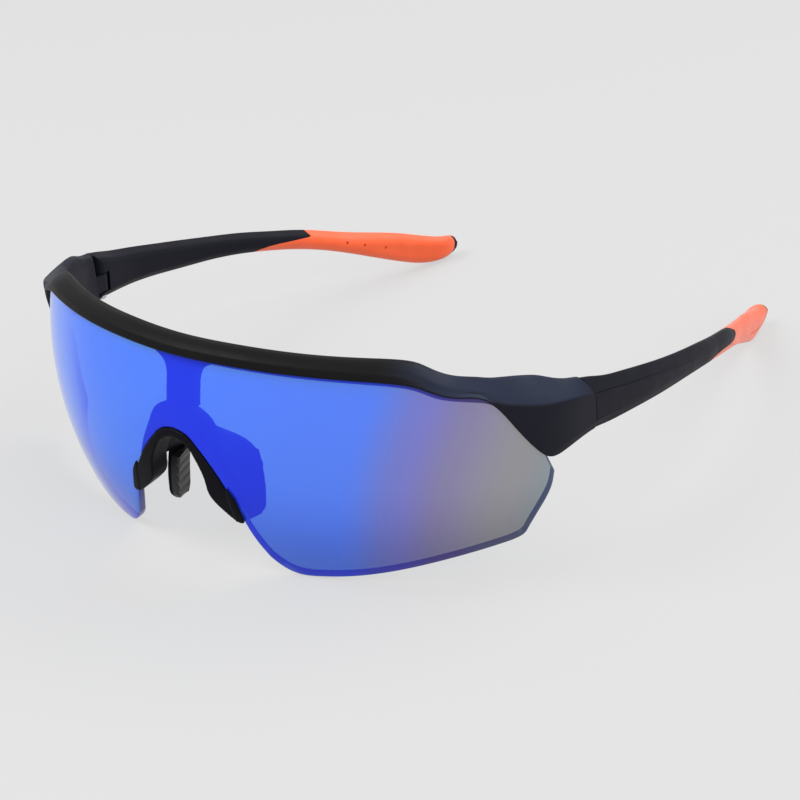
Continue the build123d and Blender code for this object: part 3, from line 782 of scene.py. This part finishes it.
def arm_ring(row):
    y, xk, zk, xt, zt, zl, xb, zb, xi, drop, rise, ease = row
    corners = [
        (xb, zb), (xk, zl), (xk, zk), (xt, zt), (xi + 0.7, zt - drop), (xi, zt - drop - 1.3),
        (xi, zb + rise + 1.5), (xi + 1.1, zb + rise),
    ]
    corners = [np.array([x, y, z]) for x, z in corners]
    return with_mids(eased(corners, [ease] * 8, ARM_EASE), ARM_EASE, ARM_MIDS)


def arm_surface():
    """Evaluator of the temple's outer skin: distance y along it and ring index to a point."""
    stack = np.array([arm_ring(row) for row in ARM])
    ys = [row[0] for row in ARM]
    curve = natural_cubic(ys, stack.reshape(len(ys), -1))
    count = stack.shape[1]

    def at(y):
        """Ring of points with a different y for each index."""
        y = np.broadcast_to(np.asarray(y, float), (count,))
        x = np.array([curve(y[j], 3 * j) for j in range(count)])
        z = np.array([curve(y[j], 3 * j + 2) for j in range(count)])
        for corner, stations, depths in GROOVES:
            j = corner * (ARM_EASE + ARM_MIDS) + ARM_EASE // 2
            x[j] -= np.interp(y[j], stations, depths)
        return np.stack([x, y, z], axis=1)

    return at, count


def middle_line(at):
    """Middle of the section along the temple, as stations y with x and z."""
    ys = np.linspace(ARM[0][0], ARM[-1][0], 90)
    mids = np.array([at(y).mean(axis=0) for y in ys])
    return ys, mids[:, 0], mids[:, 2]


def ring_place(at, count):
    """Place of each ring index, counted in corners: 1.5 is half way from corner 1 to 2."""
    ring = at(PLACE_Y)
    step = np.linalg.norm(np.roll(ring, -1, axis=0) - ring, axis=1)
    along = np.concatenate([[0], np.cumsum(step)])
    per = ARM_EASE + ARM_MIDS
    corners = along[np.arange(ARM_EASE // 2, count, per)]
    corners = np.concatenate([[corners[-1] - along[-1]], corners, [corners[0] + along[-1]]])
    return np.interp(along[:-1], corners, np.arange(-1, len(corners) - 1))


def seam_lines(at, count):
    """Where the sleeve starts at each ring index: a tongue outside, a slant inside."""
    places = [-1.0, -0.5, 0.0, 0.47, 0.85, 1.05, 1.2, 1.4, 1.7, 2.0, 2.3, 2.6, 3.0, 3.5, 4.0,
              4.35, 4.7, 5.0, 5.5, 6.0, 6.5, 7.0]
    starts = [112.2, 112.2, 112.8, 115.0, 119.0, 124.0, 130.0, 134.6, 136.9, 137.2, 136.8,
              135.0, 131.6, 131.7, 132.0, 131.3, 128.6, 125.6, 120.5, 116.4, 113.6, 112.2]
    return np.interp(ring_place(at, count), places, starts)


def tip_lines(at, count):
    """Where the sleeve ends at each ring index: a round inside, close to the tip outside."""
    yc, zc, r = TIP_ROUND
    y = np.full(count, yc + 4.0)
    for _ in range(30):
        z = at(y)[:, 2]
        y = 0.5 * y + 0.5 * (yc + np.sqrt(np.clip(r * r - (z - zc) ** 2, 0.1, None)))
    outside = np.interp(ring_place(at, count), [-0.6, 0.0, 2.4, 3.2], [0.0, 1.0, 1.0, 0.0])
    return y + (TIP_OUTSIDE - y) * outside


def skin_rows(at, y0, y1, steps):
    """Rings of points between two end lines, evenly spread at each ring index."""
    return [at(y0 + (y1 - y0) * t) for t in np.linspace(0, 1, steps)]


def pulled_in(ring, by, line):
    """A ring of points drawn towards the middle line, each at its own y."""
    ys, xs, zs = line
    y = ring[:, 1]
    away = ring - np.column_stack([np.interp(y, ys, xs), y, np.interp(y, ys, zs)])
    size = np.linalg.norm(away, axis=1)[:, None]
    return ring - away * np.minimum(by / size, 0.8)


def build_temple(arm_paint, sleeve_paint):
    at, count = arm_surface()
    line = middle_line(at)
    seam = seam_lines(at, count)
    end = tip_lines(at, count)
    front = skin_rows(at, np.full(count, ARM[0][0]), seam - SEAM_GAP, 150)
    lip = [pulled_in(at(seam - SEAM_STEP), ARM_DIP, line),
           pulled_in(at(seam + 1.0), CORE_INSET, line)]
    core = [pulled_in(at(seam + (end - seam) * t), CORE_INSET, line)
            for t in np.linspace(0.08, 0.92, 24)]
    hidden = [pulled_in(at(end - 0.6), CORE_INSET, line),
              pulled_in(at(end - SEAM_STEP), ARM_DIP, line)]
    tip = skin_rows(at, end + SEAM_GAP, np.full(count, ARM[-1][0]), 14)
    dome = [tip_ring(tip[-1], t) for t in (0.25, 0.5, 0.75)]
    verts, faces = capped(front + lip + core + hidden + tip + dome)
    arm = make_object("temple_arm", verts, faces, [arm_paint], sharp_deg=50)
    trim(arm, RUN_GAP / 2, 1)
    cut_hinge(arm)
    clean_up(arm, 45)

    wall = CORE_INSET - 0.1
    outer = skin_rows(at, seam + SEAM_GAP, end - SEAM_GAP, 120)
    start = [pulled_in(at(seam + SEAM_STEP), by, line) for by in (wall, SLEEVE_DIP)]
    stop = [pulled_in(at(end - SEAM_STEP), by, line) for by in (SLEEVE_DIP, wall)]
    inner = [pulled_in(at(end + (seam - end) * t), wall, line)
             for t in np.linspace(0.08, 0.92, 24)]
    rows = start + outer + stop + inner
    verts = np.vstack(rows)
    faces = grid_faces(len(rows), count)
    n = len(rows)
    faces += [((n - 1) * count + j, (n - 1) * count + (j + 1) % count, (j + 1) % count, j)
              for j in range(count)]
    sleeve = make_object("temple_sleeve", verts, faces, [sleeve_paint], sharp_deg=50)
    for x, y, z in SLEEVE_HOLES:
        boolean(sleeve, pin_hole(x, y, z), "DIFFERENCE")
    clean_up(sleeve, 50)
    return arm, sleeve


def tip_ring(ring, t):
    """Ring on the small dome that closes the tip."""
    mid = ring.mean(axis=0)
    return mid + (ring - mid) * cos(t * pi / 2) + np.array([0, 0.55 * sin(t * pi / 2), 0])


def pin_hole(x_face, y, z, radius=0.4, sides=20):
    """Cutter for the small support-pin hole in the sleeve's inner face."""
    a = np.linspace(0, 2 * pi, sides, endpoint=False)
    rows = []
    for x, r in ((x_face - 1.3, radius), (x_face + 1.3, radius)):
        rows.append(np.column_stack([np.full(sides, x), y + r * np.cos(a), z + r * np.sin(a)]))
    verts, faces = capped(rows)
    return make_object("pin_hole", verts, faces)


def cut_hinge(arm):
    """Rounds the ears about the screw and opens the slot for the front's lug."""
    z0, z1 = LUG_Z
    block = box_mesh("rounding", (PIN[0] - 8, PIN[1] - CUT_REACH, CUT_Z[0]),
                     (PIN[0], PIN[1], CUT_Z[1]))
    boolean(block, tube_mesh("ear", EAR_R, 15, 55), "DIFFERENCE")
    boolean(arm, block, "DIFFERENCE")
    boolean(arm, tube_mesh("pocket", EAR_R + RUN_GAP, z0 - RUN_GAP, z1 + RUN_GAP), "DIFFERENCE")
    throat = box_mesh("throat", (PIN[0] - 8, PIN[1] - CUT_REACH, z0 - RUN_GAP + 0.001),
                      (PIN[0] + 1.3, PIN[1], z1 + RUN_GAP - 0.001))
    boolean(arm, throat, "DIFFERENCE")
    past = RUN_GAP + RELIEF_PAST
    relief = box_mesh("relief", (PIN[0] + RELIEF_X[0], PIN[1] + RELIEF_Y[0], z0 - past),
                      (PIN[0] + RELIEF_X[1], PIN[1] + RELIEF_Y[1], z1 + past))
    boolean(arm, relief, "DIFFERENCE")
    boolean(arm, tube_mesh("screw_seat", SEAT_R, CUT_Z[0], SEAT_TOP_Z), "DIFFERENCE")


def build_temples():
    arm_paint = arm_material()
    orange = rubber("sleeve_orange_rubber", (0.68, 0.080, 0.015), (0.76, 0.094, 0.020),
                    0.50, 0.18)
    arm, sleeve = build_temple(arm_paint, orange)
    for obj, kind, slot in ((arm, "temple_arm", "arm_navy"),
                            (sleeve, "temple_sleeve", "sleeve_orange")):
        other = mirror_image(obj, f"{kind}_wearer_right")
        obj.name = f"{kind}_wearer_left"
        for piece, side in ((obj, "left"), (other, "right")):
            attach(piece, f"{side}_temple")
            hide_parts(f"{kind}_{side}")


# ------------------------------------------------------------------ nose bridge and pads

LEG_INNER = [(12.9, 14.2), (9.9, 16.9), (7.6, 20.0), (7.1, 23.2), (5.6, 27.3), (2.8, 31.0),
             (0, 31.9)]
RIM_HALF = [
    [(0, 33.84), (3.2, 33.04), (5.55, 30.95)],
    [(5.55, 30.95), (8.1, 27.85), (12.0, 21.45), (14.2, 15.8)],
    [(14.2, 15.8), (14.3, 14.3), (12.9, 14.2)],
    LEG_INNER,
]
FLANGE_HALF = [
    [(0, 38.4), (3.9, 38.4)],
    [(3.9, 38.4), (7.2, 36.4), (9.2, 33.0), (11.2, 28.9)],
    [(11.2, 28.9), (13.4, 23.6), (15.2, 17.2)],
    [(15.2, 17.2), (15.0, 14.0), (12.9, 14.2)],
    LEG_INNER,
]
LIP = [
    [(13.2, 14.1), (12.0, 22.8)],
    [(12.0, 22.8), (13.7, 20.2), (14.7, 16.6)],
    [(14.7, 16.6), (14.9, 14.0), (13.2, 14.1)],
]
FUSE_VOXEL = 0.00022          # metres, of the remesh that makes the moulding one piece
FINGER_Y = (8.2, 15.2)
FINGER_ROWS = [  # z, outer x at the front, nose-side x of the pad at the front, end trim
    (24.8, 9.3, 6.5, 0.0), (21.0, 10.1, 6.9, 0.0), (16.5, 10.6, 7.5, 0.0),
    (12.4, 10.7, 7.8, 0.15), (10.6, 10.5, 8.1, 0.7), (9.8, 10.2, 8.6, 1.5),
]


def arch_ring(y, top, foot, out_w, wall, n=28):
    """Arch-shaped ring of the saddle at one depth behind the lens."""
    over = [(-out_w, foot), (-0.86 * out_w, foot + 0.55 * (top - foot)), (0, top),
            (0.86 * out_w, foot + 0.55 * (top - foot)), (out_w, foot)]
    w = out_w - wall
    under = [(w, foot), (0.8 * w, foot + 0.5 * (top - wall - foot)), (0, top - wall),
             (-0.8 * w, foot + 0.5 * (top - wall - foot)), (-w, foot)]
    ring = []
    for pts in (over, under):
        pts = np.array(pts, float)
        t = np.concatenate([[0], np.cumsum(np.linalg.norm(np.diff(pts, axis=0), axis=1))])
        ring.append(natural_cubic(t, pts)(np.linspace(0, t[-1], n)))
    flat = np.vstack(ring)
    return np.column_stack([flat[:, 0], np.full(len(flat), y), flat[:, 1]])


SADDLE = [  # y, top z, foot z, half width, wall
    (3.2, 36.0, 23.6, 10.6, 2.6),
    (8.5, 32.0, 22.4, 11.2, 2.4),
    (14.6, 27.4, 21.4, 11.6, 2.2),
]


def saddle():
    """Arched pad that sits on the nose, from the lens back towards the face."""
    curve = natural_cubic([s[0] for s in SADDLE], [s[1:] for s in SADDLE])
    rows = [arch_ring(y, *curve(y)) for y in np.linspace(SADDLE[0][0], SADDLE[-1][0], 24)]
    verts, faces = capped(rows)
    return make_object("saddle", verts, faces)


def finger_rows(section, rows, steps):
    """Rings of a finger or pad between its stations."""
    stack = np.array([section(*row) for row in rows])
    z = [-row[0] for row in rows]
    curve = natural_cubic(z, stack.reshape(len(z), -1))
    return [curve(x).reshape(-1, 3) for x in np.linspace(z[0], z[-1], steps)]


def finger_section(z, x_out, _, trim_by):
    y0, y1 = FINGER_Y
    corners = [(x_out, y0 + trim_by, z), (x_out + 0.7, y1 - trim_by, z),
               (x_out - 0.2, y1 - trim_by, z), (x_out - 1.1, y0 + trim_by, z)]
    return eased([np.array(c) for c in corners], [0.4, 0.3, 0.2, 0.3])


def pad_section(z, x_out, x_nose, trim_by):
    y0, y1 = FINGER_Y
    corners = [(x_out - 0.9, y0 + trim_by + 0.1, z), (x_out, y1 - trim_by - 0.1, z),
               (x_out - 0.9, y1 - trim_by - 0.1, z), (x_nose, y0 + trim_by + 0.1, z)]
    ring = eased([np.array(c) for c in corners], [0.1, 0.1, 0.3, 0.6])
    return with_mids(ring, 5, 10)


PAD_RIB_PITCH = 2.2
PAD_RIB_DEPTH = 0.5
PAD_RIB_HALF = 0.55           # half the width of the groove between two ribs
PAD_RIB_AT = 11.9             # z of one groove
PAD_PLAIN_Z = 20.7            # the ribs fade out below this, over PAD_FADE
PAD_FADE = 0.8


def build_pad():
    """Soft wedge with rounded cross ribs on its nose side."""
    rows = []
    for ring in finger_rows(pad_section, FINGER_ROWS[1:], 130):
        z = ring[0, 2]
        phase = ((z - PAD_RIB_AT) / PAD_RIB_PITCH) % 1.0
        near = min(phase, 1 - phase) * PAD_RIB_PITCH
        cut = PAD_RIB_DEPTH * max(0.0, 1 - (near / PAD_RIB_HALF) ** 2) ** 1.5
        fade = min(1.0, max(0.0, (PAD_PLAIN_Z - z) / PAD_FADE))
        back = ring[:5].mean(axis=0)
        reach = np.clip((back[0] - ring[:, 0]) / (back[0] - ring[:, 0].min()), 0, 1)
        ring = ring.copy()
        ring[:, 0] += cut * fade * reach ** 0.5
        rows.append(ring)
    verts, faces = capped(rows)
    return make_object("nose_pad", verts, faces, sharp_deg=75)


def build_nose():
    shell_r = LENS_R - 4.4
    parts = [
        sphere_plate("grip", outline_points(RIM_HALF, 0.5), LENS_R + 0.45, shell_r, 0.25,
                     fill=0.9),
        sphere_plate("plate", outline_points(FLANGE_HALF, 0.5), LENS_R - LENS_T - 0.05, shell_r,
                     0.2, fill=0.9),
        saddle(),
    ]
    lip = sphere_plate("lip", closed_points(LIP, 0.3), LENS_R + 0.6, LENS_R + 0.05, 0.15,
                       fill=0.5)
    verts, faces = capped(finger_rows(finger_section, FINGER_ROWS, 60))
    finger = make_object("finger", verts, faces)
    parts += [lip, finger, mirror_image(lip, "lip_r"), mirror_image(finger, "finger_r")]
    bridge = joined("nose_bridge_moulding", parts)
    mod = bridge.modifiers.new("fuse", "REMESH")
    mod.mode = "VOXEL"
    mod.voxel_size = FUSE_VOXEL
    apply_modifiers(bridge)
    mod = bridge.modifiers.new("soften", "SMOOTH")
    mod.factor = 0.5
    mod.iterations = 3
    apply_modifiers(bridge)
    bridge.data.materials.clear()
    bridge.data.materials.append(bridge_material())
    bridge.data.shade_smooth()
    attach(bridge, "front")
    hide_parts("nose_bridge")
    pad = build_pad()
    pad.data.materials.append(rubber("pad_soft_rubber", (0.007, 0.007, 0.0075),
                                     (0.012, 0.012, 0.0125), 0.55, 0.12))
    other = mirror_image(pad, "nose_pad_wearer_right")
    pad.name = "nose_pad_wearer_left"
    for piece, side in ((pad, "left"), (other, "right")):
        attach(piece, "front")
        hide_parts(f"nose_pad_{side}")


# ------------------------------------------------------------------ studio


def build_floor():
    mat, tree, bsdf, _ = new_material("studio_floor")
    at = position(tree)
    tone = mixed(tree, noise(tree, at, 3.0), (0.120, 0.120, 0.120, 1), (0.124, 0.124, 0.124, 1))
    tree.links.new(tone, bsdf.inputs["Base Color"])
    bsdf.inputs["Roughness"].default_value = 0.9
    bsdf.inputs["Specular IOR Level"].default_value = 0.0
    bsdf.inputs["Emission Color"].default_value = (1, 1, 1, 1)
    bsdf.inputs["Emission Strength"].default_value = 0.553
    bpy.ops.mesh.primitive_grid_add(x_subdivisions=8, y_subdivisions=8, size=12.0,
                                    location=(0, 0, -0.0002))
    floor = bpy.context.object
    floor.name = "studio_floor"
    floor.data.materials.append(mat)


def area_light(name, at, look_at, size, power):
    data = bpy.data.lights.new(name, "AREA")
    data.shape = "RECTANGLE"
    data.size, data.size_y = size
    data.energy = power
    light = bpy.data.objects.new(name, data)
    light.location = at
    light.rotation_euler = (Vector(look_at) - Vector(at)).to_track_quat("-Z", "Y").to_euler()
    bpy.context.scene.collection.objects.link(light)


def build_light():
    world = bpy.data.worlds.new("studio")
    world.use_nodes = True
    back = world.node_tree.nodes["Background"]
    back.inputs[0].default_value = (0.76, 0.76, 0.76, 1)
    back.inputs[1].default_value = 1.0
    bpy.context.scene.world = world
    area_light("key", (-0.55, -0.75, 1.0), (0, 0, 0.02), (0.7, 0.7), 14.0)
    area_light("top_back", (0.35, 0.75, 0.95), (0, 0, 0.02), (0.9, 0.5), 9.0)
    area_light("fill", (1.0, -0.5, 0.7), (0.03, 0, 0.02), (0.8, 0.8), 8.0)


VIEW_AZIMUTH = 34.511         # degrees round from straight in front, to the wearer's left
VIEW_ELEVATION = 25.611
VIEW_ROLL = -1.244
VIEW_DISTANCE = 0.40111
VIEW_TARGET = (0.05845, -0.09391, 0.05544)


def build_camera():
    a, e, r = radians(VIEW_AZIMUTH), radians(VIEW_ELEVATION), radians(VIEW_ROLL)
    back = Vector((sin(a) * cos(e), -cos(a) * cos(e), sin(e)))
    right = Vector((cos(a), sin(a), 0))
    up = back.cross(right)
    turned_right = right * cos(r) + up * sin(r)
    turned_up = up * cos(r) - right * sin(r)
    data = bpy.data.cameras.new("view")
    data.sensor_width = 36.0
    data.lens = 94.5
    data.clip_start = 0.01
    camera = bpy.data.objects.new("view", data)
    where = Vector(VIEW_TARGET) + back * VIEW_DISTANCE
    axes = Matrix((turned_right, turned_up, back)).transposed().to_4x4()
    camera.matrix_world = Matrix.Translation(where) @ axes
    bpy.context.scene.collection.objects.link(camera)
    bpy.context.scene.camera = camera


def build_screws():
    steel = steel_material()
    for side in ("left", "right"):
        screw = NODES[f"hinge_screw_{side}"]
        screw.data.materials.clear()
        screw.data.materials.append(steel)


build_lens()
build_frame()
build_temples()
build_nose()
build_screws()
build_floor()
build_light()
build_camera()
bpy.context.scene.view_settings.view_transform = "Standard"
